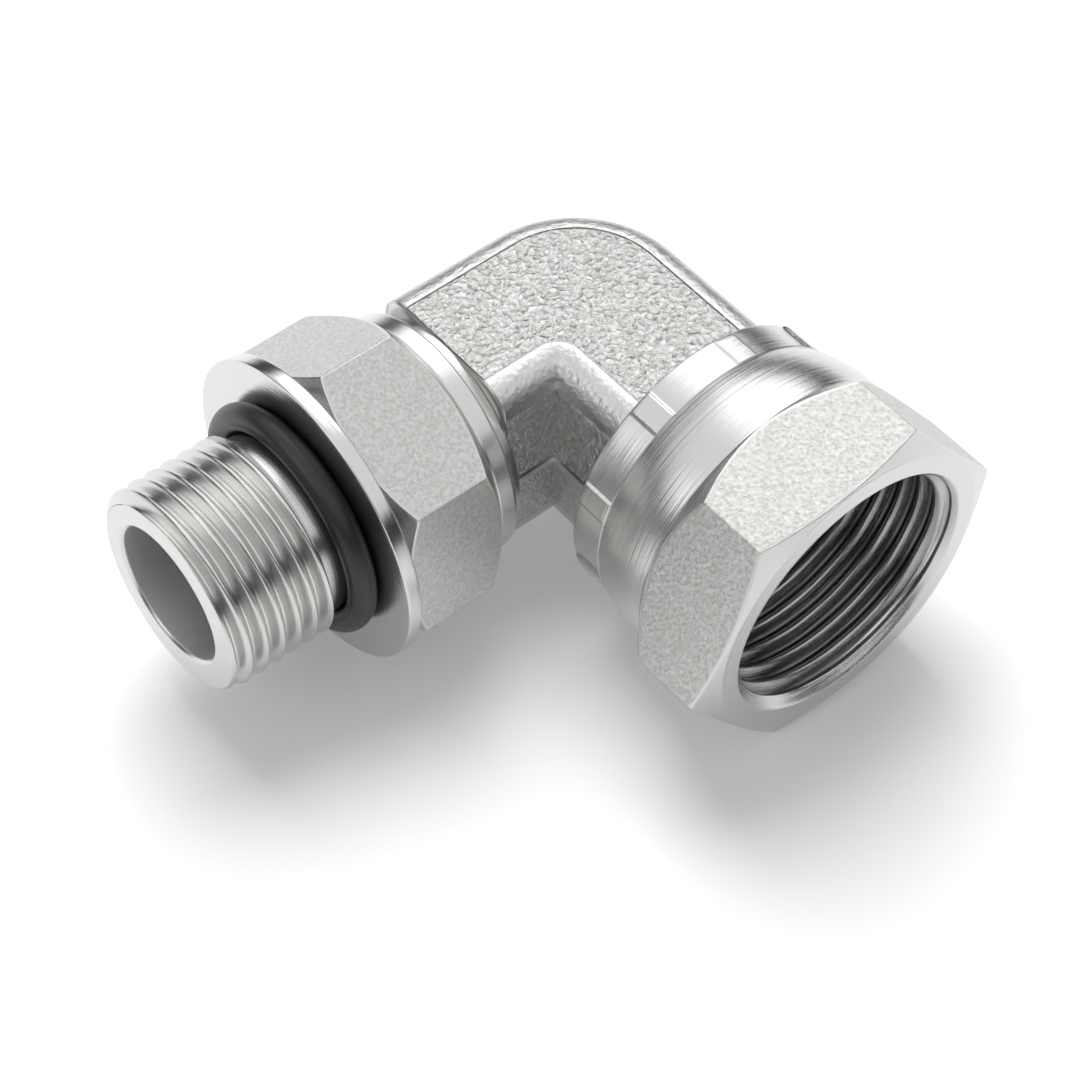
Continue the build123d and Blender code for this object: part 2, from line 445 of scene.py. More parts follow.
def plan_side(half_stud, half_swivel, radius, sign):
    """Places and outward directions along one side of the elbow seen from above.

    A straight along the stud arm, a quarter arc of the radius, and a straight along the swivel arm.
    sign is +1 on the heel's side and -1 on the crotch's side, where the arc bends the other way.
    """
    centre_x = half_swivel - sign * radius
    centre_y = half_stud - sign * radius
    first = np.linspace(0, 1, plan_counts[0], endpoint=False)[:, None]
    turn = np.linspace(0, pi / 2, plan_counts[1], endpoint=False)[:, None]
    last = np.linspace(0, 1, plan_counts[2])[:, None]
    up = np.array([[0.0, 1.0]])
    right = np.array([[1.0, 0.0]])
    stud_end = np.array([[-stud_arm_end, half_stud]])
    arc_start = np.array([[centre_x, half_stud]])
    arc_end = np.array([[half_swivel, centre_y]])
    swivel_end = np.array([[half_swivel, -swivel_arm_end]])
    one = stud_end * (1 - first) + arc_start * first
    outward = np.cos(turn) * up + np.sin(turn) * right
    two = np.array([[centre_x, centre_y]]) + sign * radius * outward
    three = arc_end * (1 - last) + swivel_end * last
    places = np.concatenate([one, two, three])
    directions = np.concatenate([up + 0 * first, outward, right + 0 * last])
    return places, directions * sign


def forging_outside():
    """Rows of section loops along both arms, from the stud's end to the swivel nut's end.

    The heel's side and the crotch's side are drawn in from the plan by each inset of the section,
    and straight lines across the top and the bottom join them.
    """
    heel, heel_out = plan_side(stud_arm_half, swivel_arm_half, heel_radius, 1)
    crotch, crotch_out = plan_side(-stud_arm_half, -swivel_arm_half, crotch_radius, -1)
    section = forging_side()
    inset = section[:, 0][None, :, None]
    height = section[:, 1]

    def wall(places, outward):
        plan = places[:, None, :] - outward[:, None, :] * inset
        rise = np.broadcast_to(height[None, :, None], plan.shape[:2] + (1,))
        return np.concatenate([plan, rise], axis=-1)

    heel_wall = wall(heel, heel_out)
    crotch_wall = wall(crotch, crotch_out)
    across = np.linspace(0, 1, top_columns)[1:-1][None, :, None]
    top = heel_wall[:, -1:] * (1 - across) + crotch_wall[:, -1:] * across
    flip = np.array([1, 1, -1])
    half = [heel_wall, top, crotch_wall[:, ::-1]]
    other = [crotch_wall[:, 1:] * flip, top[:, ::-1] * flip, heel_wall[:, :0:-1] * flip]
    loops = np.concatenate(half + other, axis=1)
    wall_weight = np.where(height > forging_half_height - forging_edge_radius, edge_grain, 1.0)
    wall_weight[height <= land_half_height] = 0.0
    top_weight = np.ones(across.shape[1])
    weight = np.concatenate(
        [wall_weight, top_weight, wall_weight[::-1], wall_weight[1:], top_weight, wall_weight[:0:-1]]
    )
    return loops, weight


def bore_limit(direction):
    """Distance from the crossing to the wall of the two crossed drillings, along each direction.

    Each drilling is a cylinder closed by its drill's cone, and the larger of the two distances holds.
    """
    apex = bore_overrun + bore_radius / tan(drill_half_angle)

    def one(along, across):
        side = bore_radius / np.maximum(across, LEAST_SLOPE)
        slope = across / tan(drill_half_angle) + along
        cone = np.where(slope > LEAST_SLOPE, apex / np.maximum(slope, LEAST_SLOPE), np.inf)
        return np.minimum(side, cone)

    x, y, z = direction[..., 0], direction[..., 1], direction[..., 2]
    return np.maximum(one(x, np.hypot(y, z)), one(y, np.hypot(x, z)))


def bore_tunnel(start_angles, end_angles):
    """Rows of rings through the forging, from the swivel nut's end back to the stud's end.

    Both drillings meet in a mitre at x = y = r cos(a), and every point is then pushed out along its
    line from the crossing to the drilled wall.
    """
    legs = np.linspace(0, 2, tunnel_rows)[:, None]
    blend = legs / 2
    angle = start_angles * (1 - blend) + end_angles * blend
    side = bore_radius * np.cos(angle)
    first = np.minimum(legs, 1)
    second = np.maximum(legs - 1, 0)
    x = side * (1 - second) - stud_arm_end * second
    y = -swivel_arm_end * (1 - first) + side * first
    rings = np.stack([x, y, bore_radius * np.sin(angle)], axis=-1)
    distance = np.linalg.norm(rings, axis=-1, keepdims=True)
    direction = rings / distance
    pushed = direction * bore_limit(direction)[..., None]
    at_end = (legs <= 0) | (legs >= 2)
    return np.where(at_end[..., None], rings, pushed)


def forged_elbow_grid():
    """The forging as one closed grid: outside, end at the nut, drilled tunnel, end at the stud."""
    loops, weight = forging_outside()
    stud_loop = loops[0]
    swivel_loop = loops[-1]
    stud_angles = np.unwrap(np.arctan2(stud_loop[:, 2], stud_loop[:, 1]))
    swivel_angles = np.unwrap(np.arctan2(swivel_loop[:, 2], swivel_loop[:, 0]))
    tunnel = bore_tunnel(swivel_angles, stud_angles)
    shrink = np.linspace(0, 1, cap_rows)[1:-1][:, None, None]
    swivel_cap = swivel_loop * (1 - shrink) + tunnel[0] * shrink
    stud_cap = tunnel[-1] * (1 - shrink) + stud_loop * shrink
    grid = np.concatenate([loops, swivel_cap, tunnel, stud_cap])
    grain = np.zeros(grid.shape[:2])
    grain[: len(loops)] = weight
    grain[0] = 0
    grain[len(loops) - 1] = 0
    return grid + np.array([crossing_x, 0, 0]), grain


def turned(name, points, rounding, steps, place, material, body, nodes, angles=None, reshape=None):
    """Closed piece of revolution from (radius, reach) corners around an arm.

    reshape may change the radius of each row and column, as a thread or a crimp does.
    """
    if angles is None:
        angles = np.arange(0, 360, turned_column_degrees) * pi / 180
    rows = softened(as_corners(points, len(angles)), rounding, steps)
    radius, reach = rows[..., 0], rows[..., 1]
    if reshape:
        radius = reshape(radius, reach, angles[None, :])
    grid = place(radius, np.broadcast_to(angles, radius.shape), reach)
    values = {
        "reach": reach / MM,
        "radius": radius / MM,
        "grain": grain_of(radius, reach, name),
        "bore": bore_of(radius, reach, name),
    }
    return closed_grid(name, grid, values, material, body, nodes)


def grain_of(radius, reach, name):
    """1 on the hexagons' flats, which keep the bar's pebbled skin, and 0 on turned faces."""
    if name == "lock_nut_plated":
        limit = lock_apothem - flat_depth_margin
        edge = lock_face_radius
        slope = tan(lock_chamfer_angle)
        low = lock_rear + (radius - edge) * slope
        high = lock_front - (radius - edge) * slope
    elif name == "swivel_nut_plated":
        limit = swivel_apothem - flat_depth_margin
        low = ring_front + (radius - ring_radius) / tan(rear_chamfer_angle)
        high = swivel_face - (radius - swivel_face_radius) * tan(front_chamfer_angle)
    else:
        return np.zeros_like(radius)
    between = (reach > low + flat_edge_margin) & (reach < high - flat_edge_margin)
    return ((radius > limit) & between).astype(float)


def bore_of(radius, reach, name):
    """1 in the roots of the nut's thread and on the stud's bore, where the plating is dull and darkened
    with painted shade, else 0.

    In the nut it is c + (1 - c) (radius - minor) / (major - minor), so the crests stay brighter, with less
    painted shade.
    """
    if name == "threaded_stud":
        return (radius < bore_radius + bore_margin).astype(float)
    if name == "swivel_nut_plated":
        depth = (radius - swivel_minor_radius) / (swivel_major_radius - swivel_minor_radius)
        inside = (radius < groove_radius + bore_margin) & (reach < swivel_face - countersink_length)
        return inside * np.clip(crest_dullness_and_shade + (1 - crest_dullness_and_shade) * depth, 0, 1)
    return np.zeros_like(radius)


def node_tree(material):
    """The material's own node tree, emptied."""
    material.use_nodes = True
    tree = material.node_tree
    tree.nodes.clear()
    return tree


def add(tree, kind, **settings):
    """A new node, with sockets set by name and other settings as attributes."""
    node = tree.nodes.new(kind)
    for key, value in settings.items():
        if key in node.inputs:
            node.inputs[key].default_value = value
        else:
            setattr(node, key, value)
    return node


def maths(tree, operation, first, second):
    """A Math node fed by links or numbers."""
    node = add(tree, "ShaderNodeMath", operation=operation)
    for socket, value in zip(node.inputs, (first, second)):
        if isinstance(value, bpy.types.NodeSocket):
            tree.links.new(value, socket)
        else:
            socket.default_value = value
    return node.outputs[0]


def pebble_group():
    """Node group: blasted, pebbled steel under plating, as a height and a mask of the raised grains."""
    if "pebbled_skin" in bpy.data.node_groups:
        return bpy.data.node_groups["pebbled_skin"]
    group = bpy.data.node_groups.new("pebbled_skin", "ShaderNodeTree")
    group.interface.new_socket("Grain size", in_out="INPUT", socket_type="NodeSocketFloat")
    group.interface.new_socket("Height", in_out="OUTPUT", socket_type="NodeSocketFloat")
    group.interface.new_socket("Raised", in_out="OUTPUT", socket_type="NodeSocketFloat")
    inside = group.nodes.new("NodeGroupInput")
    outside = group.nodes.new("NodeGroupOutput")
    place = group.nodes.new("ShaderNodeTexCoord")
    scale = maths(group, "DIVIDE", 1.0, inside.outputs["Grain size"])
    coarse = add(group, "ShaderNodeTexNoise", Detail=3.0, Roughness=0.55, Distortion=0.6)
    fine = add(group, "ShaderNodeTexVoronoi", feature="SMOOTH_F1", Smoothness=0.6)
    group.links.new(place.outputs["Object"], coarse.inputs["Vector"])
    group.links.new(place.outputs["Object"], fine.inputs["Vector"])
    group.links.new(scale, coarse.inputs["Scale"])
    group.links.new(maths(group, "MULTIPLY", scale, fine_grain_scale), fine.inputs["Scale"])
    fine_height = maths(group, "MULTIPLY", fine.outputs["Distance"], fine_grain_height)
    height = maths(group, "ADD", coarse.outputs["Fac"], fine_height)
    group.links.new(height, outside.inputs["Height"])
    raised = add(group, "ShaderNodeMapRange")
    raised.inputs["From Min"].default_value = raised_range[0]
    raised.inputs["From Max"].default_value = raised_range[1]
    group.links.new(height, raised.inputs["Value"])
    group.links.new(raised.outputs["Result"], outside.inputs["Raised"])
    return group


def turning_group():
    """Node group: fine rings that a tool leaves, read from the piece's reach and radius."""
    if "turning_marks" in bpy.data.node_groups:
        return bpy.data.node_groups["turning_marks"]
    group = bpy.data.node_groups.new("turning_marks", "ShaderNodeTree")
    group.interface.new_socket("Rings per mm", in_out="INPUT", socket_type="NodeSocketFloat")
    group.interface.new_socket("Height", in_out="OUTPUT", socket_type="NodeSocketFloat")
    inside = group.nodes.new("NodeGroupInput")
    outside = group.nodes.new("NodeGroupOutput")
    reach = add(group, "ShaderNodeAttribute", attribute_name="reach")
    radius = add(group, "ShaderNodeAttribute", attribute_name="radius")
    place = group.nodes.new("ShaderNodeTexCoord")
    drift = add(group, "ShaderNodeTexNoise", Scale=150.0, Detail=1.0)
    group.links.new(place.outputs["Object"], drift.inputs["Vector"])
    wander = maths(group, "MULTIPLY", drift.outputs["Fac"], ring_drift_mm)
    along = maths(group, "ADD", reach.outputs["Fac"], wander)
    vector = group.nodes.new("ShaderNodeCombineXYZ")
    group.links.new(along, vector.inputs["X"])
    group.links.new(radius.outputs["Fac"], vector.inputs["Y"])
    rings = add(group, "ShaderNodeTexNoise", Detail=4.0, Roughness=0.65)
    group.links.new(vector.outputs["Vector"], rings.inputs["Vector"])
    group.links.new(inside.outputs["Rings per mm"], rings.inputs["Scale"])
    group.links.new(rings.outputs["Fac"], outside.inputs["Height"])
    return group


def plated_steel(
    name, turned_roughness=0.25, grain_roughness=0.36, grain_size=0.5 * MM, grain_bump=0.24 * MM,
    bore_shade_tone=1.0, bore_roughness=0.3, ring_bump=0.02 * MM, rings_per_mm=4.0,
):
    """Bright zinc plating, pebbled with painted shade in the pits where the grain attribute is 1, turned
    elsewhere, and dull with darker painted shade by bore.
    """
    material = bpy.data.materials.new(name)
    tree = node_tree(material)
    output = add(tree, "ShaderNodeOutputMaterial")
    shader = add(tree, "ShaderNodeBsdfPrincipled", Metallic=1.0)
    tree.links.new(shader.outputs["BSDF"], output.inputs["Surface"])
    grain = add(tree, "ShaderNodeAttribute", attribute_name="grain")
    pebbles = add(tree, "ShaderNodeGroup", node_tree=pebble_group())
    pebbles.inputs["Grain size"].default_value = grain_size
    marks = add(tree, "ShaderNodeGroup", node_tree=turning_group())
    marks.inputs["Rings per mm"].default_value = rings_per_mm
    # Painted shade: the plating is darkened in the pebbled grain's low places, where the grain is not
    # raised
    colour = add(tree, "ShaderNodeMix", data_type="RGBA")
    tone = colours().plating
    colour.inputs["A"].default_value = (*tone, 1)
    colour.inputs["B"].default_value = (*(part * tint for part, tint in zip(tone, painted_pit_shade)), 1)
    low_places = maths(tree, "SUBTRACT", 1.0, pebbles.outputs["Raised"])
    pit_shade_mask = maths(tree, "MULTIPLY", grain.outputs["Fac"], low_places)
    tree.links.new(pit_shade_mask, colour.inputs["Factor"])
    # Painted shade: the bore attribute darkens the colour in the bores and the thread roots, down to the
    # bore's tone
    bore = add(tree, "ShaderNodeAttribute", attribute_name="bore")
    bore_shade_level = add(tree, "ShaderNodeMapRange")
    bore_shade_level.inputs["To Min"].default_value = 1.0
    bore_shade_level.inputs["To Max"].default_value = bore_shade_tone
    tree.links.new(bore.outputs["Fac"], bore_shade_level.inputs["Value"])
    shade = add(tree, "ShaderNodeMix", data_type="RGBA", blend_type="MULTIPLY")
    shade.inputs["Factor"].default_value = 1.0
    tree.links.new(colour.outputs["Result"], shade.inputs["A"])
    tree.links.new(bore_shade_level.outputs["Result"], shade.inputs["B"])
    tree.links.new(shade.outputs["Result"], shader.inputs["Base Color"])
    roughness = add(tree, "ShaderNodeMapRange")
    roughness.inputs["To Min"].default_value = turned_roughness
    roughness.inputs["To Max"].default_value = grain_roughness
    tree.links.new(grain.outputs["Fac"], roughness.inputs["Value"])
    dull = maths(tree, "MULTIPLY", bore.outputs["Fac"], bore_roughness)
    tree.links.new(maths(tree, "MAXIMUM", roughness.outputs["Result"], dull), shader.inputs["Roughness"])
    grainy = maths(tree, "MULTIPLY", pebbles.outputs["Height"], grain.outputs["Fac"])
    pebble_height = maths(tree, "MULTIPLY", grainy, grain_bump)
    smooth = maths(tree, "SUBTRACT", 1.0, grain.outputs["Fac"])
    ringed = maths(tree, "MULTIPLY", marks.outputs["Height"], smooth)
    ring_height = maths(tree, "MULTIPLY", ringed, ring_bump)
    bump = add(tree, "ShaderNodeBump", Distance=1.0)
    tree.links.new(maths(tree, "ADD", pebble_height, ring_height), bump.inputs["Height"])
    tree.links.new(bump.outputs["Normal"], shader.inputs["Normal"])
    return material


def seal_rubber():
    """Satin black moulded rubber with a very fine dull grain."""
    material = bpy.data.materials.new("seal_rubber")
    tree = node_tree(material)
    output = add(tree, "ShaderNodeOutputMaterial")
    shader = add(tree, "ShaderNodeBsdfPrincipled", Roughness=0.38)
    shader.inputs["Base Color"].default_value = (*colours().rubber, 1)
    tree.links.new(shader.outputs["BSDF"], output.inputs["Surface"])
    place = add(tree, "ShaderNodeTexCoord")
    grain = add(tree, "ShaderNodeTexNoise", Scale=2500.0, Detail=2.0)
    tree.links.new(place.outputs["Object"], grain.inputs["Vector"])
    bump = add(tree, "ShaderNodeBump", Distance=0.006 * MM)
    tree.links.new(grain.outputs["Fac"], bump.inputs["Height"])
    tree.links.new(bump.outputs["Normal"], shader.inputs["Normal"])
    return material


class FITTING_OT_forging(bpy.types.Operator):
    """Build the forged elbow with its pebbled skin and drilled passages"""

    bl_idname = "fitting.forging"
    bl_label = "Forged elbow"

    def execute(self, context):
        grid, grain = forged_elbow_grid()
        normal = grid_normals(grid)
        if signed_volume(grid.reshape(-1, 3), grid_faces(*grid.shape[:2])) < 0:
            normal = -normal
        uneven = -0.5
        for cell, share, seed in (coarse_unevenness, fine_unevenness):
            uneven = uneven + share * lattice_noise(grid, cell, seed)
        grid = grid + normal * (uneven * grain * 2 * sizes().pebble_height)[..., None]
        values = {"reach": grid[..., 0] / MM, "radius": grid[..., 1] / MM, "grain": grain}
        material = plated_steel("forged_plating", turned_roughness=0.3)
        closed_grid("forged_elbow", grid, values, material, "fitting_body", ["elbow_body"])
        return {"FINISHED"}


class FITTING_OT_stud(bpy.types.Operator):
    """Turn the stud with its shoulder, relief, thread and bore"""

    bl_idname = "fitting.stud"
    bl_label = "Threaded stud"

    def execute(self, context):
        size = sizes()
        runout = stud_major_radius - relief_radius
        points = [
            (bore_radius, stud_arm_end),
            (forging_half_height, stud_arm_end),
            (forging_half_height, neck_end),
            (shoulder_radius, neck_end),
            (shoulder_radius, shoulder_end),
            (stud_major_radius, shoulder_end),
            (stud_major_radius, lock_front - runout),
            (relief_radius, lock_front),
            (relief_radius, crossing_x),
            (stud_major_radius, crossing_x),
            (stud_major_radius, stud_thread_end),
            (tip_face_radius, stud_tip),
            (bore_radius + bore_bevel, stud_tip),
            (bore_radius, stud_tip - bore_bevel),
        ]
        edge = size.edge_round
        shoulder_edge = 3 * edge
        rounding = [0, edge, edge, shoulder_edge, shoulder_edge] + [edge] * 9
        coarse = 1.0 * MM
        medium = 0.3 * MM
        fine = 0.09 * MM
        runout_step = 0.5 * MM
        relief_step = 0.2 * MM
        bore_step = 2 * MM
        steps = [
            coarse, medium, coarse, medium, coarse, coarse, coarse,
            runout_step, relief_step, fine, fine, medium, coarse, bore_step,
        ]

        def threaded(radius, reach, angle):
            wave = thread_wave(reach, angle, size.stud_pitch)
            cut = stud_major_radius - size.stud_thread_depth * wave
            in_thread = (reach > crossing_x) & (radius > relief_radius)
            return np.where(in_thread, np.minimum(radius, cut), radius)

        # Slight painted shade, 0.95 of the plating's colour, in the stud's bore
        material = plated_steel("turned_plating", bore_shade_tone=0.95, bore_roughness=0.6)
        turned(
            "threaded_stud", points, rounding, steps, stud_place, material,
            "fitting_body", ["elbow_body"], reshape=threaded,
        )
        return {"FINISHED"}


class FITTING_OT_nose(bpy.types.Operator):
    """Turn the stem, collar and conical seat inside the swivel nut"""

    bl_idname = "fitting.nose"
    bl_label = "Collar and seat"

    def execute(self, context):
        seat_depth = (seat_mouth_radius - bore_radius) / tan(seat_half_angle)
        points = [
            (bore_radius, swivel_arm_end),
            (stem_radius, swivel_arm_end),
            (stem_radius, collar_rear),
            (collar_radius, collar_rear),
            (collar_radius, collar_end),
            (nose_face_radius, nose_end),
            (seat_mouth_radius, nose_end),
            (bore_radius, nose_end - seat_depth),
        ]
        edge = sizes().edge_round
        rounding = [0] + [edge] * 7
        coarse = 1 * MM
        seat_step = 0.3 * MM
        steps = [coarse] * 6 + [seat_step, coarse]
        material = plated_steel("seat_plating", turned_roughness=0.18)
        turned(
            "swivel_nose", points, rounding, steps, swivel_place, material,
            "fitting_body", ["elbow_body"],
        )
        return {"FINISHED"}


class FITTING_OT_lock_nut(bpy.types.Operator):
    """Build the lock nut with chamfered faces and pebbled flats"""

    bl_idname = "fitting.lock_nut"
    bl_label = "Lock nut"

    def execute(self, context):
        size = sizes()
        angles = hex_columns(lock_turn)
        rim = hex_radius(angles, lock_apothem, lock_turn, size.hex_edge_round)
        drop = (rim - lock_face_radius) * tan(lock_chamfer_angle)
        bore = stud_major_radius + thread_clearance
        points = [
            (bore, lock_rear + lock_bore_bevel),
            (bore + lock_bore_bevel, lock_rear),
            (lock_face_radius, lock_rear),
            (rim, lock_rear + drop),
            (rim, lock_front - drop),
            (lock_face_radius, lock_front),
            (bore + lock_bore_bevel, lock_front),
            (bore, lock_front - lock_bore_bevel),
        ]
        edge = size.edge_round
        rounding = [edge] * 8
        coarse = 1 * MM
        bevel_step = 0.4 * MM
        chamfer_step = 0.3 * MM
        flat_step = 0.25 * MM
        steps = [bevel_step, coarse, chamfer_step, flat_step, chamfer_step, coarse, bevel_step, coarse]
        material = plated_steel(
            "lock_nut_plating", grain_size=0.3 * MM, grain_bump=0.02 * MM, grain_roughness=0.3,
        )
        turned(
            "lock_nut_plated", points, rounding, steps, stud_place, material,
            "lock_nut", ["lock_nut"], angles=angles,
        )
        return {"FINISHED"}


class FITTING_OT_seal(bpy.types.Operator):
    """Build the back-up washer and the O-ring"""

    bl_idname = "fitting.seal"
    bl_label = "Washer and O-ring"

    def execute(self, context):
        edge = sizes().edge_round
        points = [
            (washer_bore_radius, washer_rear),
            (washer_rim_radius, washer_rear),
            (washer_rim_radius, washer_front),
            (washer_bore_radius, washer_front),
        ]
        rim_edge = 2 * edge
        washer_step = 0.4 * MM
        material = plated_steel("washer_plating", turned_roughness=0.2)
        turned(
            "backup_washer_plated", points, [edge, rim_edge, rim_edge, edge], [washer_step] * 4, stud_place,
            material, "seal_pack", ["backup_washer"],
        )
        around = np.arange(0, 360, o_ring_column_degrees) * pi / 180
        section = np.arange(0, 360, o_ring_section_degrees)[:, None] * pi / 180
        centre = (o_ring_rear + o_ring_front) / 2
        radius = o_ring_centre_radius + o_ring_section_radius * np.cos(section)
        reach = centre + o_ring_section_radius * np.sin(section)
        shape = (len(section), len(around))
        grid = stud_place(*(np.broadcast_to(value, shape) for value in (radius, around, reach)))
        closed_grid("o_ring_moulded", grid, {}, seal_rubber(), "seal_pack", ["o_ring"])
        return {"FINISHED"}


class FITTING_OT_swivel_nut(bpy.types.Operator):
    """Build the swivel nut with its hexagon, turned shoulder, crimped lip and thread"""

    bl_idname = "fitting.swivel_nut"
    bl_label = "Swivel nut"

    def execute(self, context):
        size = sizes()
        rib_centres = np.arange(rib_count) * FULL_TURN / rib_count
        near_edge = np.concatenate([rib_centres - rib_half_angle, rib_centres + rib_half_angle])
        angles = hex_columns(swivel_turn, np.concatenate([near_edge - rib_fade, near_edge + rib_fade]))
        rim = hex_radius(angles, swivel_apothem, swivel_turn, size.hex_edge_round)
        rear_rise = (rim - ring_radius) / tan(rear_chamfer_angle)
        front_drop = (rim - swivel_face_radius) * tan(front_chamfer_angle)
        blend_length = ring_rear - crimp_end
        blend_rise = ring_radius - blend_foot_radius
        blend_curve = (blend_length**2 + blend_rise**2) / (2 * blend_rise)
        arc_centre = ring_radius - blend_curve
        arc = [
            (arc_centre + sqrt(blend_curve**2 - back**2), ring_rear - back)
            for back in np.linspace(1, 0, blend_rows) * blend_length
        ]
        mouth_drop = countersink_radius - swivel_minor_radius
        points = [
            (lip_radius, swivel_rear),
            (rib_radius, swivel_rear),
            (rib_radius, crimp_end),
            *arc,
            (ring_radius, ring_front),
            (rim, ring_front + rear_rise),
            (rim, swivel_face - front_drop),
            (swivel_face_radius, swivel_face),
            (countersink_radius, swivel_face),
            (swivel_minor_radius, swivel_face - mouth_drop),
            (swivel_minor_radius, groove_end + groove_radius - swivel_minor_radius),
            (groove_radius, groove_end),
            (groove_radius, chamber_end),
            (chamber_radius, chamber_end),
            (chamber_radius, lip_end),
            (lip_radius, lip_end),
        ]
        edge = size.edge_round
        rounding = [edge, crimp_edge_radius, edge, edge] + [0] * (len(arc) - 1)
        rounding += [edge] * 12
        wide = 2 * MM
        crimp_step = 0.5 * MM
        crimp_end_step = 0.1 * MM
        blend_step = 0.6 * MM
        flat_step = 0.3 * MM
        face_step = 0.5 * MM
        cone_step = 0.12 * MM
        thread_step = 0.13 * MM
        groove_step = 0.2 * MM
        steps = [wide, crimp_step, crimp_end_step] + [blend_step] * len(arc)
        steps += [flat_step] * 3 + [face_step, cone_step, thread_step, groove_step] + [wide] * 5
        spacing = FULL_TURN / rib_count

        def shaped(radius, reach, angle):
            from_rib = np.abs((angle + spacing / 2) % spacing - spacing / 2)
            on_rib = np.clip((rib_half_angle + rib_fade - from_rib) / (2 * rib_fade), 0, 1)
            crimped = pressed_radius + (rib_radius - pressed_radius) * on_rib
            in_crimp = (reach < crimp_end) & (radius > pressed_radius)
            radius = np.where(in_crimp, np.minimum(radius, crimped), radius)
            wave = thread_wave(reach, angle, size.swivel_pitch)
            cut = swivel_minor_radius + (swivel_major_radius - swivel_minor_radius) * (1 - wave)
            in_thread = (reach > groove_end) & (radius < groove_radius)
            in_thread &= reach < swivel_face - thread_face_gap
            return np.where(in_thread, np.maximum(radius, cut), radius)

        # Painted shade darkens the roots of the nut's thread to 0.28 of the plating's colour, and the
        # crests less
        material = plated_steel(
            "swivel_nut_plating", grain_size=0.36 * MM, grain_bump=0.08 * MM, grain_roughness=0.4,
            bore_shade_tone=0.28, ring_bump=0.06 * MM, rings_per_mm=3.0,
        )
        turned(
            "swivel_nut_plated", points, rounding, steps, swivel_place, material,
            "swivel_nut", ["swivel_nut"], angles=angles, reshape=shaped,
        )
        return {"FINISHED"}


# Where the photograph was taken from, measured from the crossing
camera_azimuth = radians(-41.243)
camera_elevation = radians(52.052)
camera_roll = radians(1.603)
camera_offset = (-2.81 * MM, -19.233 * MM)
camera_distance = 296.453 * MM
focal_pixels = 3063.02
image_pixels = 1086
sensor_width = 36.0
near_clip = 0.01

# Studio: each softbox has a name, a place, a width, a power in watts and whether the metal reflects it
floor_half = 3.0
lamp_target = (crossing_x - 0.01, -0.015, 0)
softboxes = (
    ("back_softbox", (0.33, 0.30, 0.50), 0.55, 1.05, True),
    ("shadow_softbox", (0.12, 0.22, 0.55), 0.4, 3.2, False),
    ("left_softbox", (-0.55, 0.10, 0.35), 0.35, 0.35, True),
)
white = (1, 1, 1, 1)
ambient_level = 0.42
backdrop_level = 1.0
floor_glow = 0.14
card_distance = 0.9
card_tone = (0.03, 0.03, 0.03)
card_degrees = (2, 24)
card_columns = 73
card_rows = 9


def add_camera():
    """Camera at the photograph's place, turned and shifted as the solved view was."""
    back = np.array([
        sin(camera_azimuth) * cos(camera_elevation),
        -cos(camera_azimuth) * cos(camera_elevation),
        sin(camera_elevation),
    ])
    right = np.array([cos(camera_azimuth), sin(camera_azimuth), 0])
    up = np.cross(back, right)
    rolled_right = cos(camera_roll) * right + sin(camera_roll) * up
    rolled_up = -sin(camera_roll) * right + cos(camera_roll) * up
    eye = rolled_right * camera_offset[0] + rolled_up * camera_offset[1] + back * camera_distance
    eye = eye + np.array([crossing_x, 0, 0])
    data = bpy.data.cameras.new("camera")
    data.sensor_width = sensor_width
    data.lens = sensor_width * focal_pixels / image_pixels
    data.clip_start = near_clip
    camera = bpy.data.objects.new("camera", data)
    matrix = Matrix([[*row] for row in np.stack([rolled_right, rolled_up, back, eye], axis=1)]).to_4x4()
    camera.matrix_world = matrix
    bpy.context.scene.collection.objects.link(camera)
    bpy.context.scene.camera = camera


def add_softbox(name, place, size, power, reflected):
    """A large square lamp that faces the fitting, with or without its reflection in the metal."""
    data = bpy.data.lights.new(name, "AREA")
    data.size = size
    data.energy = power
    lamp = bpy.data.objects.new(name, data)
    lamp.location = place
    lamp.rotation_euler = (Vector(lamp_target) - Vector(place)).to_track_quat("-Z", "Y").to_euler()
    lamp.visible_glossy = reflected
    bpy.context.scene.collection.objects.link(lamp)


def card_material():
    """Dull black card."""
    material = bpy.data.materials.new("dark_card")
    tree = node_tree(material)
    output = add(tree, "ShaderNodeOutputMaterial")
    diffuse = add(tree, "ShaderNodeBsdfDiffuse")
    diffuse.inputs["Color"].default_value = (*card_tone, 1)
    tree.links.new(diffuse.outputs[0], output.inputs["Surface"])
    return material


def add_card(name):
    """Dark band around the fitting that only reflections show: R (cos a cos e, sin a cos e, sin e)."""
    around = np.radians(np.linspace(0, 360, card_columns))[None, :]
    rise = np.radians(np.linspace(*card_degrees, card_rows))[:, None]
    grid = card_distance * np.stack(
        [np.cos(rise) * np.cos(around), np.cos(rise) * np.sin(around), np.sin(rise) + 0 * around], axis=-1
    )
    rows, columns = grid.shape[:2]
    i, j = np.meshgrid(np.arange(rows - 1), np.arange(columns - 1), indexing="ij")
    corner = (i * columns + j).ravel()
    quads = np.stack([corner, corner + 1, corner + columns + 1, corner + columns], axis=-1)
    mesh = bpy.data.meshes.new(name)
    mesh.from_pydata(grid.reshape(-1, 3), [], quads)
    mesh.materials.append(card_material())
    card = bpy.data.objects.new(name, mesh)
    bpy.context.scene.collection.objects.link(card)
    card.visible_camera = False
    card.visible_diffuse = False
    card.visible_shadow = False


def background_ray(tree):
    """1 for camera, glossy and transmission rays, which see the backdrop as it is meant to look."""
    path = add(tree, "ShaderNodeLightPath")
    seen = maths(tree, "MAXIMUM", path.outputs["Is Camera Ray"], path.outputs["Is Glossy Ray"])
    return maths(tree, "MAXIMUM", seen, path.outputs["Is Transmission Ray"])


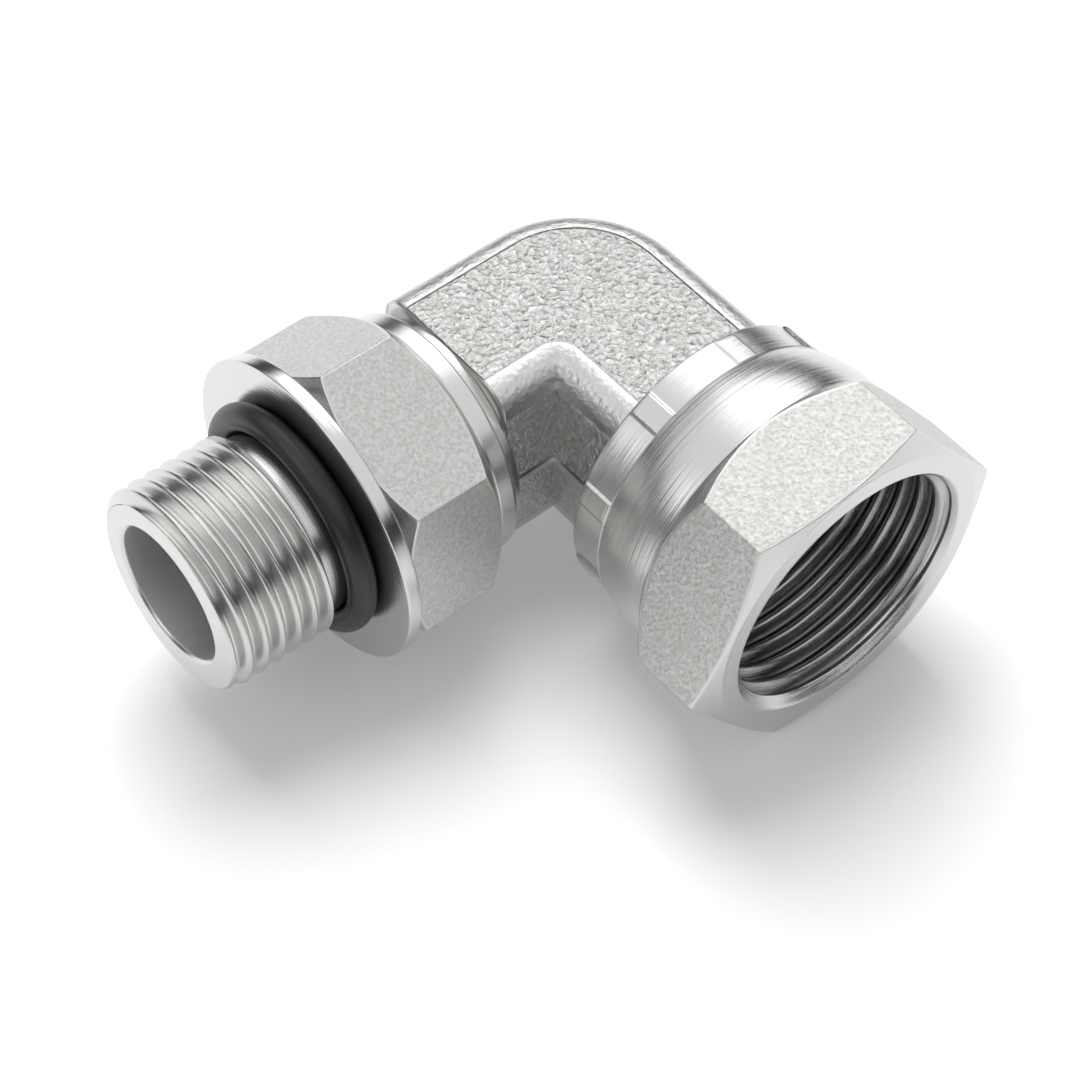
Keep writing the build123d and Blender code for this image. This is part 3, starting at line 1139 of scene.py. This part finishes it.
def add_world():
    """White for the rays that see the backdrop and a lower, even light for the rest."""
    world = bpy.data.worlds.new("studio")
    bpy.context.scene.world = world
    world.use_nodes = True
    tree = world.node_tree
    tree.nodes.clear()
    output = add(tree, "ShaderNodeOutputWorld")
    ambient = add(tree, "ShaderNodeBackground", Strength=ambient_level)
    backdrop = add(tree, "ShaderNodeBackground", Strength=backdrop_level)
    backdrop.inputs["Color"].default_value = white
    ambient.inputs["Color"].default_value = white
    mix = add(tree, "ShaderNodeMixShader")
    tree.links.new(background_ray(tree), mix.inputs[0])
    tree.links.new(ambient.outputs[0], mix.inputs[1])
    tree.links.new(backdrop.outputs[0], mix.inputs[2])
    tree.links.new(mix.outputs[0], output.inputs["Surface"])


def floor_material():
    """Pale floor that keeps the shadow and melts into the backdrop for the rays that see it."""
    material = bpy.data.materials.new("studio_floor")
    tree = node_tree(material)
    output = add(tree, "ShaderNodeOutputMaterial")
    diffuse = add(tree, "ShaderNodeBsdfDiffuse")
    diffuse.inputs["Color"].default_value = (*colours().floor, 1)
    glow = add(tree, "ShaderNodeEmission")
    tree.links.new(maths(tree, "MULTIPLY", background_ray(tree), floor_glow), glow.inputs["Strength"])
    both = add(tree, "ShaderNodeAddShader")
    tree.links.new(diffuse.outputs[0], both.inputs[0])
    tree.links.new(glow.outputs[0], both.inputs[1])
    tree.links.new(both.outputs[0], output.inputs["Surface"])
    return material


class FITTING_OT_stage(bpy.types.Operator):
    """Set the floor, lamps, backdrop and camera"""

    bl_idname = "fitting.stage"
    bl_label = "Studio"

    def execute(self, context):
        floor_level = cad_box[0][2]
        mesh = bpy.data.meshes.new("floor")
        sides = ((-1, -1), (1, -1), (1, 1), (-1, 1))
        corners = [(x * floor_half, y * floor_half, floor_level) for x, y in sides]
        mesh.from_pydata(corners, [], [(0, 1, 2, 3)])
        mesh.materials.append(floor_material())
        floor = bpy.data.objects.new("floor", mesh)
        context.scene.collection.objects.link(floor)
        add_world()
        for softbox in softboxes:
            add_softbox(*softbox)
        add_card("horizon_card")
        add_camera()
        context.scene.view_settings.view_transform = "Standard"
        return {"FINISHED"}


class FITTING_PT_panel(bpy.types.Panel):
    """Lists what the fitting is built from"""

    bl_label = "Elbow fitting"
    bl_idname = "FITTING_PT_panel"
    bl_space_type = "VIEW_3D"
    bl_region_type = "UI"
    bl_category = "Fitting"

    def draw(self, context):
        layout = self.layout
        for group in (context.scene.fitting_sizes, context.scene.fitting_colours):
            for name in group.bl_rna.properties.keys():
                if name not in ("rna_type", "name"):
                    layout.prop(group, name)
        for operator in OPERATORS:
            layout.operator(operator.bl_idname)


OPERATORS = (
    FITTING_OT_forging,
    FITTING_OT_stud,
    FITTING_OT_nose,
    FITTING_OT_lock_nut,
    FITTING_OT_seal,
    FITTING_OT_swivel_nut,
    FITTING_OT_stage,
)
CLASSES = (FittingSizes, FittingColours, *OPERATORS, FITTING_PT_panel)


def register():
    """Add the classes and the scene's two property groups."""
    for item in CLASSES:
        bpy.utils.register_class(item)
    bpy.types.Scene.fitting_sizes = bpy.props.PointerProperty(type=FittingSizes)
    bpy.types.Scene.fitting_colours = bpy.props.PointerProperty(type=FittingColours)


def unregister():
    """Take away what register added."""
    del bpy.types.Scene.fitting_colours
    del bpy.types.Scene.fitting_sizes
    for item in reversed(CLASSES):
        bpy.utils.unregister_class(item)


def main():
    """Build every piece and the studio."""
    register()
    bpy.ops.fitting.forging()
    bpy.ops.fitting.stud()
    bpy.ops.fitting.nose()
    bpy.ops.fitting.lock_nut()
    bpy.ops.fitting.seal()
    bpy.ops.fitting.swivel_nut()
    bpy.ops.fitting.stage()


if __name__ == "__main__":
    main()
